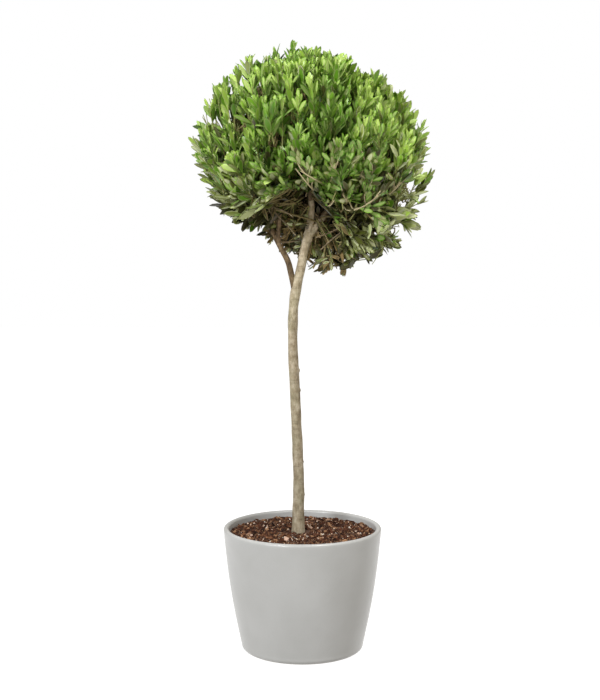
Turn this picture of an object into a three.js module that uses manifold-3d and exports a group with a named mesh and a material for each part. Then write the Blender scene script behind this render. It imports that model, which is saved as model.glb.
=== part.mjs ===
// A potted olive standard: a clipped ball of foliage on one bare stem, in a glazed round pot.
// Millimetres, +Z up, the pot's underside on Z = 0 with its centre at the origin, the front towards -Y.
import * as THREE from "three";
import { mergeVertices } from "three/addons/utils/BufferGeometryUtils.js";
import Module from "manifold-3d";

const wasm = await Module();
wasm.setup();

// ---- Driving dimensions ----
const CLEARANCE = 0.3; // gap between two pieces that touch
const POT = {
  height: 188.6,
  footRadius: 93.3, // where the wall starts, above the rounded foot
  footRound: 8,
  rimRadius: 120,
  belly: 3.3, // how far the wall swells beyond a straight taper, halfway up
  wall: 8.2,
  floor: 9,
  segments: 48,
};
const SOIL = { edgeHeight: 179.2, crestHeight: 180.4, crestRadius: 24, segments: 24 };

const CROWN_CENTRE = new THREE.Vector3(14, 0, 741);
const UP = new THREE.Vector3(0, 0, 1);

// The open hollow under the front of the crown, through which the stem shows: an ellipsoid.
const HOLLOW = {
  centre: new THREE.Vector3(-12, -120, 594),
  radii: new THREE.Vector3(58, 122, 104),
};

// Each mass of leaves: the direction of its middle from the crown's centre, by azimuth from +X
// towards +Y and elevation in degrees, and how far its leaf tips reach along it.
const MASSES = [
  { name: "top", azimuth: 170, elevation: 80, reach: 175 },
  { name: "upper_left", azimuth: 166, elevation: 38, reach: 196 },
  { name: "upper_front_left", azimuth: -126, elevation: 40, reach: 183 },
  { name: "upper_front_right", azimuth: -54, elevation: 40, reach: 174 },
  { name: "upper_right", azimuth: 16, elevation: 36, reach: 180 },
  { name: "upper_back", azimuth: 90, elevation: 40, reach: 175 },
  { name: "left", azimuth: -162, elevation: 2, reach: 180 },
  { name: "front", azimuth: -92, elevation: 0, reach: 177 },
  { name: "right", azimuth: -18, elevation: -2, reach: 186 },
  { name: "back_right", azimuth: 54, elevation: -2, reach: 181 },
  { name: "back_left", azimuth: 126, elevation: -2, reach: 177 },
  { name: "low_left", azimuth: -160, elevation: -40, reach: 158 },
  { name: "low_right", azimuth: -28, elevation: -44, reach: 194 },
  { name: "low_back_right", azimuth: 46, elevation: -48, reach: 175 },
  { name: "low_back_left", azimuth: 128, elevation: -46, reach: 152 },
];
// Dips in the crown's outline: where they lie, how deep they are in the middle, and how far they
// spread in degrees.
const DIPS = [
  { azimuth: 0, elevation: 64, depth: 18, spread: 15 },
  { azimuth: 180, elevation: 24, depth: 10, spread: 10 },
  { azimuth: 184, elevation: -58, depth: 26, spread: 16 },
  { azimuth: 180, elevation: -34, depth: 12, spread: 12 },
  { azimuth: 0, elevation: -76, depth: 9, spread: 14 },
  { azimuth: -4, elevation: -14, depth: 15, spread: 11 },
  { azimuth: 80, elevation: 16, depth: 12, spread: 14 },
  { azimuth: 120, elevation: 62, depth: 10, spread: 12 },
  { azimuth: 100, elevation: -30, depth: 14, spread: 13 },
];
const REACH_BLEND = 9; // how sharply one mass's reach gives way to the next
const BASE_SHARE = 0.4; // where a mass's stem starts, as a share of its reach
const STEM_SHARE = 0.8; // the stem's radius, as a share of its bough's tip, which it carries on from
const CORE = {
  centreShare: 0.6, acrossShare: 0.4, deepShare: 0.2, // of the mass's reach
  lump: 0.1, detail: 1, inset: 1.5,
};
const SHOOTS = 101; // spread evenly over the whole crown
const SHOOT = {
  sides: 3, rootRadius: 3.4, tipRadius: 2.6, rootShare: 0.4,
  nodes: [0.5, 0.84], // where its leaf pairs stand, as shares of its length
  pairSpread: 40, // degrees
};
const LEAF = { length: 45, width: 16, thickness: 1.7, widest: 0.52, sunk: 2.5 };
const PAIR_STEP = 3.2; // the second leaf of a pair sits this much further up the twig
const CELL_MARGIN = 0.4; // a leaf keeps this far inside its mass's own space
const LIMB_MARGIN = 1.2; // and this far from every limb

// Limbs: the points their middle lines pass through, and their radii at the start and tip.
// The first point of a bough lies inside the limb it grows from, which is then cut out of it with
// the clearance. Its last point, where its mass of leaves takes over, is worked out below.
const TRUNK = {
  name: "trunk",
  points: [[-6.8, 0, SOIL.crestHeight + CLEARANCE], [-5.8, 2, 255], [-9.3, 1, 353],
    [-14.7, -1, 486], [-11.3, 0, 541], [-3.1, 0, 580], [4.1, 1, 614], [10.2, 1, 635]],
  rootRadius: 8.6, tipRadius: 6.6, flare: 2.6, flareHeight: 22, levelFoot: true,
  sides: 12, steps: 18,
};
const MAIN_BOUGHS = [
  { name: "bough_centre", mass: "top", rootRadius: 5.3, tipRadius: 3.3,
    points: [[8.2, 1, 630], [12.6, 1, 657], [12.9, 0, 680], [9.2, 2, 744]] },
  { name: "bough_right", mass: "back_right", rootRadius: 4.9, tipRadius: 3.1,
    points: [[7.2, 1, 624], [22.6, 1, 648], [36, 3, 665], [51.4, 26, 704]] },
  { name: "bough_left", mass: "back_left", rootRadius: 4.7, tipRadius: 2.9,
    points: [[-10.3, 0, 545], [-15.4, 2, 567], [-21.6, 4, 591], [-35, 7, 617],
      [-50.4, 12, 654], [-45.3, 30, 704]] },
];
// Side boughs grow from the left bough, the centre bough and the right bough, in that order.
const SIDE_BOUGHS = [
  { name: "bough_low_left", mass: "low_left", points: [[-37, 7, 622]] },
  { name: "bough_side_left", mass: "left", points: [[-48.4, 10, 648], [-55.6, 0, 692]] },
  { name: "bough_upper_left", mass: "upper_left", points: [[-49.4, 18, 677], [-47.4, 16, 745]] },
  { name: "bough_low_back_left", mass: "low_back_left", points: [[-46.3, 10, 642]] },
  { name: "bough_low_back_right", mass: "low_back_right", points: [[12.3, 1, 645]] },
  { name: "bough_front", mass: "front", points: [[12.9, 0, 684], [10.2, -18, 706]] },
  { name: "bough_upper_back", mass: "upper_back", points: [[11.3, 1, 709], [13.4, 16, 741]] },
  { name: "bough_upper_front_left", mass: "upper_front_left",
    points: [[10.3, 2, 725], [-2.1, -10, 756]] },
  { name: "bough_upper_front_right", mass: "upper_front_right",
    points: [[9.2, 2, 742], [22.6, -12, 766]] },
  { name: "bough_low_right", mass: "low_right", points: [[31.8, 2.5, 661]] },
  { name: "bough_side_right", mass: "right", points: [[40.1, 8, 674], [57.6, 0, 703]] },
  { name: "bough_upper_right", mass: "upper_right", points: [[46.3, 18, 689], [51.5, 16, 737]] },
];
const SIDE_BOUGH = { rootRadius: 3.4, tipRadius: 2.4, sides: 6, steps: 5 };
const MAIN_BOUGH = { sides: 8, steps: 10 };

// ---- Materials ----
const material = (color, roughness) => new THREE.MeshStandardMaterial({ color, roughness, metalness: 0 });
const GLAZE = material(0xb3b1ab, 0.28);
const POTTING_MIX = material(0x4a2f20, 0.95);
const BARK = material(0x9a8b70, 0.85);
const LEAF_GREENS = [0x6f9440, 0x5d8a3a, 0x7d9c48, 0x4e7836].map((c) => material(c, 0.5));

// ---- Solids ----
function solidOf(geometry) {
  const bare = geometry.clone();
  bare.deleteAttribute("normal");
  bare.deleteAttribute("uv");
  const merged = mergeVertices(bare, 1e-3);
  return new wasm.Manifold(new wasm.Mesh({
    numProp: 3,
    vertProperties: merged.attributes.position.array,
    triVerts: new Uint32Array(merged.index.array),
  }));
}

function geometryOf(solid) {
  const mesh = solid.getMesh();
  const geometry = new THREE.BufferGeometry();
  geometry.setAttribute("position", new THREE.BufferAttribute(mesh.vertProperties, 3));
  geometry.setIndex(new THREE.BufferAttribute(mesh.triVerts, 1));
  geometry.computeVertexNormals();
  return geometry;
}

function largestBody(solid) {
  return solid.decompose().reduce((a, b) => (a.volume() > b.volume() ? a : b));
}

const part = new THREE.Group();
function addNode(name, geometry, finish) {
  const mesh = new THREE.Mesh(geometry, finish);
  mesh.name = name;
  part.add(mesh);
}

// A repeatable source of numbers from 0 to 1.
function seeded(seed) {
  let state = seed;
  return () => {
    state = (state * 1103515245 + 12345) % 2147483648;
    return state / 2147483648;
  };
}

const along = (a, b, share) => a.clone().lerp(b, share);
const vectors = (points) => points.map((p) => new THREE.Vector3(...p));

// ---- Pot and soil ----
const LIP = POT.wall / 2;
const LIP_HEIGHT = POT.height - LIP;

// The outer wall's radius at a height: a taper that swells a little, steepest near the rim.
function wallRadius(z) {
  const share = (z - POT.footRound) / (LIP_HEIGHT - POT.footRound);
  const taper = THREE.MathUtils.lerp(POT.footRadius, POT.rimRadius, share);
  return taper + POT.belly * Math.sin(Math.PI * share);
}

function arc(centreR, centreZ, radius, from, to, steps) {
  return Array.from({ length: steps + 1 }, (_, i) => {
    const a = THREE.MathUtils.degToRad(from + ((to - from) * i) / steps);
    return new THREE.Vector2(centreR + radius * Math.cos(a), centreZ + radius * Math.sin(a));
  });
}

function turned(profile, segments) {
  return new THREE.LatheGeometry(profile, segments).rotateX(Math.PI / 2);
}

// The points of the wall at shares of the height between a level and the lip.
function wallPoints(from, shares, inset) {
  return shares.map((share) => {
    const z = THREE.MathUtils.lerp(from, LIP_HEIGHT, share);
    return new THREE.Vector2(wallRadius(Math.max(z, POT.footRound)) - inset, z);
  });
}

function potGeometry() {
  return turned([
    new THREE.Vector2(0, 0),
    ...arc(POT.footRadius - POT.footRound, POT.footRound, POT.footRound, -90, 0, 3),
    ...wallPoints(POT.footRound, [0.25, 0.5, 0.75, 1], 0),
    ...arc(POT.rimRadius - LIP, LIP_HEIGHT, LIP, 0, 180, 4).slice(1),
    ...wallPoints(POT.floor, [0.8, 0.4, 0], POT.wall),
    new THREE.Vector2(0, POT.floor),
  ], POT.segments);
}

function soilGeometry() {
  const bottom = POT.floor + CLEARANCE;
  const inset = POT.wall + 2 * CLEARANCE;
  const edgeShare = (SOIL.edgeHeight - bottom) / (LIP_HEIGHT - bottom);
  return turned([
    new THREE.Vector2(0, bottom),
    ...wallPoints(bottom, [0, 0.4, 0.8, edgeShare], inset),
    new THREE.Vector2(SOIL.crestRadius, SOIL.crestHeight),
    new THREE.Vector2(0, SOIL.crestHeight),
  ], SOIL.segments);
}

// ---- Limbs ----
const radiusOf = (limb, share) => {
  const rise = share * limb.curve.getLength();
  const flare = (limb.flare ?? 0) * Math.exp(-rise / (limb.flareHeight ?? 1));
  return THREE.MathUtils.lerp(limb.rootRadius, limb.tipRadius, share) + flare;
};

// A closed cylinder bent along the limb's middle line, tapering, with flat ends.
function limbGeometry(limb, extra = 0) {
  const { sides, steps, curve } = limb;
  const geometry = new THREE.CylinderGeometry(1, 1, 1, sides, steps);
  const frames = curve.computeFrenetFrames(steps, false);
  const position = geometry.attributes.position;
  const vertex = new THREE.Vector3();
  for (let i = 0; i < position.count; i++) {
    vertex.fromBufferAttribute(position, i);
    const step = Math.round((vertex.y + 0.5) * steps);
    const radius = radiusOf(limb, step / steps) + extra;
    const { x, z } = vertex;
    vertex.copy(curve.getPointAt(step / steps))
      .addScaledVector(frames.normals[step], x * radius)
      .addScaledVector(frames.binormals[step], -z * radius);
    if (step === 0 && limb.levelFoot) vertex.z = limb.curve.points[0].z;
    if (step === 0) vertex.addScaledVector(frames.tangents[0], -extra);
    if (step === steps) vertex.addScaledVector(frames.tangents[steps], extra);
    position.setXYZ(i, ...vertex.toArray());
  }
  return geometry;
}

// ---- The crown's shape ----
function direction(azimuth, elevation) {
  const a = THREE.MathUtils.degToRad(azimuth);
  const e = THREE.MathUtils.degToRad(elevation);
  return new THREE.Vector3(Math.cos(e) * Math.cos(a), Math.cos(e) * Math.sin(a), Math.sin(e));
}

for (const mass of MASSES) {
  mass.axis = direction(mass.azimuth, mass.elevation);
  mass.base = CROWN_CENTRE.clone().addScaledVector(mass.axis, BASE_SHARE * mass.reach);
}

for (const dip of DIPS) {
  dip.axis = direction(dip.azimuth, dip.elevation);
  dip.width = 1 - Math.cos(THREE.MathUtils.degToRad(dip.spread));
}

// How far the leaf tips reach from the crown's centre in a direction.
function reachAlong(towards) {
  let sum = 0;
  let weights = 0;
  for (const mass of MASSES) {
    const weight = Math.exp(REACH_BLEND * towards.dot(mass.axis));
    sum += weight * mass.reach;
    weights += weight;
  }
  const dips = DIPS.map((dip) => dip.depth * Math.exp((towards.dot(dip.axis) - 1) / dip.width));
  return sum / weights - dips.reduce((a, b) => a + b, 0);
}

function inHollow(point, margin = 0) {
  const d = point.clone().sub(HOLLOW.centre).divide(HOLLOW.radii.clone().addScalar(margin));
  return d.lengthSq() < 1;
}

// How far a point lies inside a mass's own space, which is the part of the crown nearer in
// direction to that mass's axis than to any other.
function depthInCell(point, mass) {
  const offset = point.clone().sub(CROWN_CENTRE);
  let least = Infinity;
  for (const other of MASSES) {
    if (other === mass) continue;
    const normal = mass.axis.clone().sub(other.axis).normalize();
    least = Math.min(least, offset.dot(normal));
  }
  return least;
}

function nearestMass(towards) {
  return MASSES.reduce((a, b) => (towards.dot(a.axis) > towards.dot(b.axis) ? a : b));
}

// ---- Limbs from their points ----
const limbs = [];
function addLimb(given, shape, end) {
  const points = vectors(given.points);
  if (end) points.push(end);
  limbs.push({ ...shape, ...given, curve: new THREE.CatmullRomCurve3(points, false, "centripetal") });
}
const baseOf = (bough) => MASSES.find((mass) => mass.name === bough.mass).base;
addLimb(TRUNK, {});
for (const bough of MAIN_BOUGHS) addLimb(bough, MAIN_BOUGH, baseOf(bough));
for (const bough of SIDE_BOUGHS) addLimb(bough, SIDE_BOUGH, baseOf(bough));

for (const limb of limbs) {
  limb.samples = Array.from({ length: 25 }, (_, i) => ({
    point: limb.curve.getPointAt(i / 24),
    radius: radiusOf(limb, i / 24),
  }));
  limb.around = solidOf(limbGeometry(limb, CLEARANCE));
}

function buildLimb(limb, earlier) {
  let solid = solidOf(limbGeometry(limb));
  for (const other of earlier) solid = solid.subtract(other.around);
  return largestBody(solid);
}

const limbsNear = (point, margin) => limbs.some((limb) =>
  limb.samples.some((s) => s.point.distanceTo(point) < s.radius + margin));

// ---- Leaves ----
// A leaf is a stretched octahedron of 8 faces, from its sunk root along a direction.
function leafPoints(root, towards, across, length, width, thickness) {
  const face = towards.clone().cross(across).normalize();
  const middle = root.clone().addScaledVector(towards, LEAF.widest * length);
  return {
    root: root.clone().addScaledVector(towards, -LEAF.sunk),
    tip: root.clone().addScaledVector(towards, length),
    sides: [
      middle.clone().addScaledVector(across, width / 2),
      middle.clone().addScaledVector(face, thickness / 2),
      middle.clone().addScaledVector(across, -width / 2),
      middle.clone().addScaledVector(face, -thickness / 2),
    ],
  };
}

function bladeGeometry({ root, tip, sides }) {
  const geometry = new THREE.BufferGeometry();
  geometry.setAttribute("position", new THREE.Float32BufferAttribute(
    [root, tip, ...sides].flatMap((p) => p.toArray()), 3));
  const faces = sides.flatMap((_, i) => {
    const next = (i + 1) % sides.length;
    return [1, 2 + i, 2 + next, 0, 2 + next, 2 + i];
  });
  geometry.setIndex(faces);
  return geometry;
}

// A straight three-sided twig with flat ends.
function twigGeometry(from, to, rootRadius, tipRadius) {
  const length = from.distanceTo(to);
  const geometry = new THREE.CylinderGeometry(tipRadius, rootRadius, length, SHOOT.sides, 1);
  const heading = to.clone().sub(from).normalize();
  const turn = new THREE.Quaternion().setFromUnitVectors(new THREE.Vector3(0, 1, 0), heading);
  const middle = along(from, to, 0.5);
  return geometry.applyMatrix4(new THREE.Matrix4().compose(middle, turn, new THREE.Vector3(1, 1, 1)));
}

function sideways(towards, angle) {
  const helper = Math.abs(towards.z) > 0.9 ? new THREE.Vector3(1, 0, 0) : UP;
  return towards.clone().cross(helper).normalize().applyAxisAngle(towards, angle);
}

function keepsToSpace(points, mass) {
  const clear = (p) => depthInCell(p, mass) > CELL_MARGIN && !inHollow(p);
  return points.every((p) => clear(p) && !limbsNear(p, LIMB_MARGIN));
}

// ---- Masses of leaves ----
// The core: a lumpy flattened ball that keeps to the mass's own space.
function coreSolid(mass, random) {
  const centre = CROWN_CENTRE.clone().addScaledVector(mass.axis, CORE.centreShare * mass.reach);
  const geometry = new THREE.IcosahedronGeometry(1, CORE.detail);
  const merged = mergeVertices(geometry.deleteAttribute("normal").deleteAttribute("uv"), 1e-3);
  const position = merged.attributes.position;
  for (let i = 0; i < position.count; i++) {
    const unit = new THREE.Vector3().fromBufferAttribute(position, i);
    const deep = unit.dot(mass.axis);
    const flat = unit.clone().addScaledVector(mass.axis, -deep);
    const swell = 1 + CORE.lump * (random() - 0.5) * 2;
    const offset = flat.multiplyScalar(CORE.acrossShare)
      .addScaledVector(mass.axis, deep * CORE.deepShare)
      .multiplyScalar(mass.reach * swell);
    let share = 1;
    const at = (s) => centre.clone().addScaledVector(offset, s);
    const outside = (point) => depthInCell(point, mass) < CORE.inset || inHollow(point, CORE.inset);
    while (share > 0.3 && outside(at(share))) share -= 0.04;
    position.setXYZ(i, ...at(share).toArray());
  }
  return { centre, solid: solidOf(merged) };
}

// One leafy shoot: a twig rooted in the core, leaf pairs at its nodes and a leaf at its tip.
function shootSolids(mass, core, towards, random) {
  const tip = CROWN_CENTRE.clone().addScaledVector(towards, reachAlong(towards));
  const lift = 0.2 + 0.35 * Math.max(0, towards.z + 0.3);
  const heading = towards.clone().addScaledVector(UP, lift).normalize();
  const end = tip.clone().addScaledVector(heading, -LEAF.length * 0.92);
  const root = along(core.centre, end, SHOOT.rootShare);
  if (inHollow(tip) || !keepsToSpace([root, end], mass)) return [];
  const twigHeading = end.clone().sub(root).normalize();
  const twigEnd = end.clone().addScaledVector(twigHeading, 2);
  const pieces = [twigGeometry(root, twigEnd, SHOOT.rootRadius, SHOOT.tipRadius)];
  const turn = random() * Math.PI;
  const addLeaf = (from, leafHeading, across, size) => {
    const length = LEAF.length * size;
    const leaf = leafPoints(from, leafHeading, across, length, LEAF.width * size, LEAF.thickness);
    if (keepsToSpace([leaf.root, leaf.tip, ...leaf.sides], mass)) pieces.push(bladeGeometry(leaf));
  };
  SHOOT.nodes.forEach((share, n) => {
    for (const side of [0, 1]) {
      const node = along(root, end, share).addScaledVector(twigHeading, side * PAIR_STEP);
      const outward = sideways(heading, turn + side * Math.PI + (n * Math.PI) / 2);
      const spread = THREE.MathUtils.degToRad(SHOOT.pairSpread + 12 * (random() - 0.5));
      const leafHeading = heading.clone().multiplyScalar(Math.cos(spread))
        .addScaledVector(outward, Math.sin(spread));
      addLeaf(node, leafHeading, leafHeading.clone().cross(outward).normalize(), 0.85 + 0.2 * random());
    }
  });
  addLeaf(end, heading, sideways(heading, turn), 0.92);
  return pieces.map(solidOf);
}

// The crown's shoot directions, spread evenly by the golden angle.
const shootDirections = Array.from({ length: SHOOTS }, (_, i) => {
  const z = 1 - (2 * (i + 0.5)) / SHOOTS;
  const azimuth = i * Math.PI * (3 - Math.sqrt(5));
  const flat = Math.sqrt(1 - z * z);
  return new THREE.Vector3(flat * Math.cos(azimuth), flat * Math.sin(azimuth), z);
});

function massSolid(mass, index) {
  const random = seeded(173 + 17 * index);
  const core = coreSolid(mass, random);
  const limb = limbs.find((l) => l.mass === mass.name);
  const start = mass.base.clone().addScaledVector(limb.curve.getTangentAt(1), -CLEARANCE);
  const stemRadius = limb.tipRadius * STEM_SHARE;
  const stem = solidOf(twigGeometry(start, core.centre, stemRadius, stemRadius));
  const shoots = shootDirections.filter((d) => nearestMass(d) === mass)
    .flatMap((d) => shootSolids(mass, core, d, random));
  let solid = wasm.Manifold.union([core.solid, stem, ...shoots]);
  for (const other of limbs) solid = solid.subtract(other.around);
  return largestBody(solid);
}

// ---- The whole plant ----
addNode("pot", potGeometry(), GLAZE);
addNode("soil", soilGeometry(), POTTING_MIX);
limbs.forEach((limb, i) => {
  addNode(limb.name, geometryOf(buildLimb(limb, limbs.slice(0, i))), BARK);
});
MASSES.forEach((mass, i) => {
  const green = LEAF_GREENS[i % LEAF_GREENS.length];
  addNode(`leaves_${mass.name}`, geometryOf(massSolid(mass, i)), green);
});

export default part;
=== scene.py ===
"""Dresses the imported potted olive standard: glazed pot, potting mix, bark, twigs and leaves."""

import math

import bpy
import numpy as np
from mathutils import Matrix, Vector, noise


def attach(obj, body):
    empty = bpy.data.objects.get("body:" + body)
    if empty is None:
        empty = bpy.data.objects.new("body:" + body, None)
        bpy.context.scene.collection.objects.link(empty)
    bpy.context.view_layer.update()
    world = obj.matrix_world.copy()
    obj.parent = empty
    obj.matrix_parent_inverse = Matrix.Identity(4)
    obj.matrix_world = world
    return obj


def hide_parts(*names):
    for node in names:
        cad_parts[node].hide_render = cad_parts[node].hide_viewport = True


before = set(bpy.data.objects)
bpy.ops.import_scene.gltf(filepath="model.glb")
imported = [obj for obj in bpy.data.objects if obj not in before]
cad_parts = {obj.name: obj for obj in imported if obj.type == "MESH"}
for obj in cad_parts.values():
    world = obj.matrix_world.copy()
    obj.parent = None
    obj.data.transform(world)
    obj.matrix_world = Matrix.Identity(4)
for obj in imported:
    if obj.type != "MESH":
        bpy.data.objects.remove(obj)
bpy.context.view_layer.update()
rng = np.random.default_rng(11)

# ---- Sizes, in millimetres, the same as the solids' own ----
MM = 0.001
POT_HEIGHT, POT_BELLY, POT_WALL, POT_FLOOR = 188.6, 3.3, 8.2, 9.0
FOOT_RADIUS, FOOT_ROUND, RIM_RADIUS = 93.3, 8.0, 120.0
POT_SIDES = 180
LIP = POT_WALL / 2
LIP_HEIGHT = POT_HEIGHT - LIP
# The bare underside, out to its foot ring: distance in from the foot's rounding, and height.
FOOT_RING = [(9.0, 1.6), (7.5, 1.2), (6.5, 0.25), (5.5, 0.0), (0.0, 0.0)]
GLAZE_EDGE = -60  # where the glaze starts on the foot's rounding, which runs from -90 to 0 degrees
AXIS_GAP = 0.01  # a profile ends this far from the axis
SOIL_EDGE = 178.4
SOIL_CREST = 180.2
SOIL_TOP_RADIUS = 111.0
SOIL_RISE_RADIUS = 95.0
CHIP_MARGIN = 3.5  # between the loose pieces and the edge of the mix
SOIL_RINGS, SOIL_SIDES = 110, 240
# Lumps, clods and grains: the height and width of each, and the slice of the noise that it takes.
SOIL_BUMPS = [(2.2, 21, 3.1), (1.2, 7.5, 8.4), (0.6, 2.6, 1.7)]
CROWN_CENTRE = np.array([14.0, 0.0, 741.0])
UP = np.array([0.0, 0.0, 1.0])
HOLLOW_CENTRE = np.array([-12.0, -120.0, 594.0])
HOLLOW_RADII = np.array([58.0, 122.0, 104.0])
# Leaves keep this much further out of the hollow than the solids do, so that the stem shows.
HOLLOW_MARGIN = np.array([14.0, 28.0, 4.0])

# Each mass of leaves: azimuth, elevation (degrees) and the reach of its leaf tips.
MASSES = {
    "top": (170, 80, 175),
    "upper_left": (166, 38, 196),
    "upper_front_left": (-126, 40, 183),
    "upper_front_right": (-54, 40, 174),
    "upper_right": (16, 36, 180),
    "upper_back": (90, 40, 175),
    "left": (-162, 2, 180),
    "front": (-92, 0, 177),
    "right": (-18, -2, 186),
    "back_right": (54, -2, 181),
    "back_left": (126, -2, 177),
    "low_left": (-160, -40, 158),
    "low_right": (-28, -44, 194),
    "low_back_right": (46, -48, 175),
    "low_back_left": (128, -46, 152),
}
# Dips in the crown's outline: azimuth, elevation, depth in the middle, spread in degrees.
DIPS = [(0, 64, 18, 15), (180, 24, 10, 10), (184, -58, 26, 16), (180, -34, 12, 12), (0, -76, 9, 14),
        (-4, -14, 15, 11), (80, 16, 12, 14), (120, 62, 10, 12), (100, -30, 14, 13)]
REACH_BLEND = 9.0  # how sharply one mass's reach gives way to the next one's
BASE_SHARE, FORK_SHARE = 0.4, 0.6  # where a mass's stem starts and forks, as shares of its reach

# Limbs: the points of the middle line, and the radii at the start and at the tip.
STEM_POINTS = [(-6.8, 0, 176), (-5.8, 2, 255), (-9.3, 1, 353), (-14.7, -1, 486),
               (-11.3, 0, 541), (-3.1, 0, 580), (4.1, 1, 614), (10.2, 1, 635)]
STEM_RADII = (8.6, 6.6)
# Old cuts on the stem: distance up it, angle round it in radians, and size.
KNOTS = [(62, 2.9, 2.6), (88, 1.9, 3.0), (112, 3.1, 2.4), (168, 1.1, 2.8), (222, 3.0, 3.6),
         (252, 3.2, 4.2), (262, 4.6, 3.0), (331, 1.2, 2.6)]
# Boughs: the mass of leaves that each one carries, and its points up to that mass.
BOUGHS = {
    "bough_centre": ("top", (8.2, 1, 630), (12.6, 1, 657), (12.9, 0, 680), (9.2, 2, 744)),
    "bough_right": ("back_right", (7.2, 1, 624), (22.6, 1, 648), (36, 3, 665), (51.4, 26, 704)),
    "bough_left": ("back_left", (-10.3, 0, 545), (-15.4, 2, 567), (-21.6, 4, 591), (-35, 7, 617),
                   (-50.4, 12, 654), (-45.3, 30, 704)),
    "bough_low_left": ("low_left", (-37, 7, 622)),
    "bough_side_left": ("left", (-48.4, 10, 648), (-55.6, 0, 692)),
    "bough_upper_left": ("upper_left", (-49.4, 18, 677), (-47.4, 16, 745)),
    "bough_low_back_left": ("low_back_left", (-46.3, 10, 642)),
    "bough_low_back_right": ("low_back_right", (12.3, 1, 645)),
    "bough_front": ("front", (12.9, 0, 684), (10.2, -18, 706)),
    "bough_upper_back": ("upper_back", (11.3, 1, 709), (13.4, 16, 741)),
    "bough_upper_front_left": ("upper_front_left", (10.3, 2, 725), (-2.1, -10, 756)),
    "bough_upper_front_right": ("upper_front_right", (9.2, 2, 742), (22.6, -12, 766)),
    "bough_low_right": ("low_right", (31.8, 2.5, 661)),
    "bough_side_right": ("right", (40.1, 8, 674), (57.6, 0, 703)),
    "bough_upper_right": ("upper_right", (46.3, 18, 689), (51.5, 16, 737)),
}
MAIN_RADII = {"bough_centre": (5.3, 3.3), "bough_right": (4.9, 3.1), "bough_left": (4.7, 2.9)}
SIDE_RADII = (3.4, 2.4)
STEM_SIDES, MAIN_SIDES, SIDE_SIDES = 44, 28, 18
STEM_FLARE = (2.6, 22)  # how much thicker the stem is at the mix, and how far up that fades
STEM_SWELLING = (0.8, 366, 16)  # where the left bough leaves: how much, where and how far
BOUGH_COLLAR = (0.45, 9)  # where a bough leaves its parent: the share of its radius and how far
STEM_RADIUS = 7.0  # on average, for the width of its knots
KNOT_HEIGHT = 0.42  # as a share of a knot's size
DOME_STEPS = (0.45, 0.8, 1.0)  # the rings of a limb's domed end, as shares of its height

# The thin brown zone round the forks.
BARE_CENTRE = np.array([8.0, 0.0, 592.0])
BARE_SIZE = np.array([62.0, 70.0, 52.0])

# Painted shade and painted light on the shoots, where they are darker (+) or paler (-): azimuth, elevation,
# sharpness and change of tone.
PAINTED_SHADING_PATCHES = [(-76, -3, 9, 1.2), (-64, -36, 12, 1.6), (-112, 28, 6, -0.6), (-20, -36, 8, -1.3),
                (-42, -22, 14, -0.6), (0, -88, 12, 1.3), (-150, -30, 8, -0.5), (-35, 35, 8, 0.5)]

BRANCHES = 101  # inside the masses, as many as the solids have shoots
SHOOTS = 1150
RUNNERS = 16
LINING_SPRIGS = 420
THICKET_SPRIGS = 230
LINING_FRONT = 6.0  # the lining stays behind this y, and so behind the stem

# The camera, fitted to the photo through the pot's rim and foot: its place in metres, its tilt in
# degrees, and its lens and sensor in millimetres.
CAMERA_PLACE = (-0.00374, -2.2, 0.70018)
CAMERA_DOWN = 6.26
LENS = 75.67
SENSOR_WIDTH = 36.0


# ---- Camera, floor and light ----
def show(thing):
    bpy.context.scene.collection.objects.link(thing)


def make_camera():
    data = bpy.data.cameras.new("camera")
    data.lens = LENS
    data.sensor_width = SENSOR_WIDTH
    data.clip_end = 20.0
    camera = bpy.data.objects.new("camera", data)
    camera.location = CAMERA_PLACE
    camera.rotation_euler = (math.radians(90 - CAMERA_DOWN), 0, 0)
    show(camera)
    bpy.context.scene.camera = camera


def add_lamp(name, kind, place, aim, watts, colour):
    """A lamp that faces its aim. Its data is returned, for the settings of its own kind."""
    data = bpy.data.lights.new(name, kind)
    data.energy = watts
    data.color = colour
    lamp = bpy.data.objects.new(name, data)
    lamp.location = place
    lamp.rotation_euler = (Vector(aim) - Vector(place)).to_track_quat("-Z", "Y").to_euler()
    show(lamp)
    return data


def soft_box(name, place, aim, size, watts, colour):
    data = add_lamp(name, "AREA", place, aim, watts, colour)
    data.shape = "DISK"
    data.size = size


def beam(name, place, aim, cone, watts, colour):
    """A soft-edged beam, narrow enough to light the underside of the crown and not the pot."""
    data = add_lamp(name, "SPOT", place, aim, watts, colour)
    data.spot_size = math.radians(cone)
    data.spot_blend = 0.7
    data.shadow_soft_size = 0.18


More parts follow.
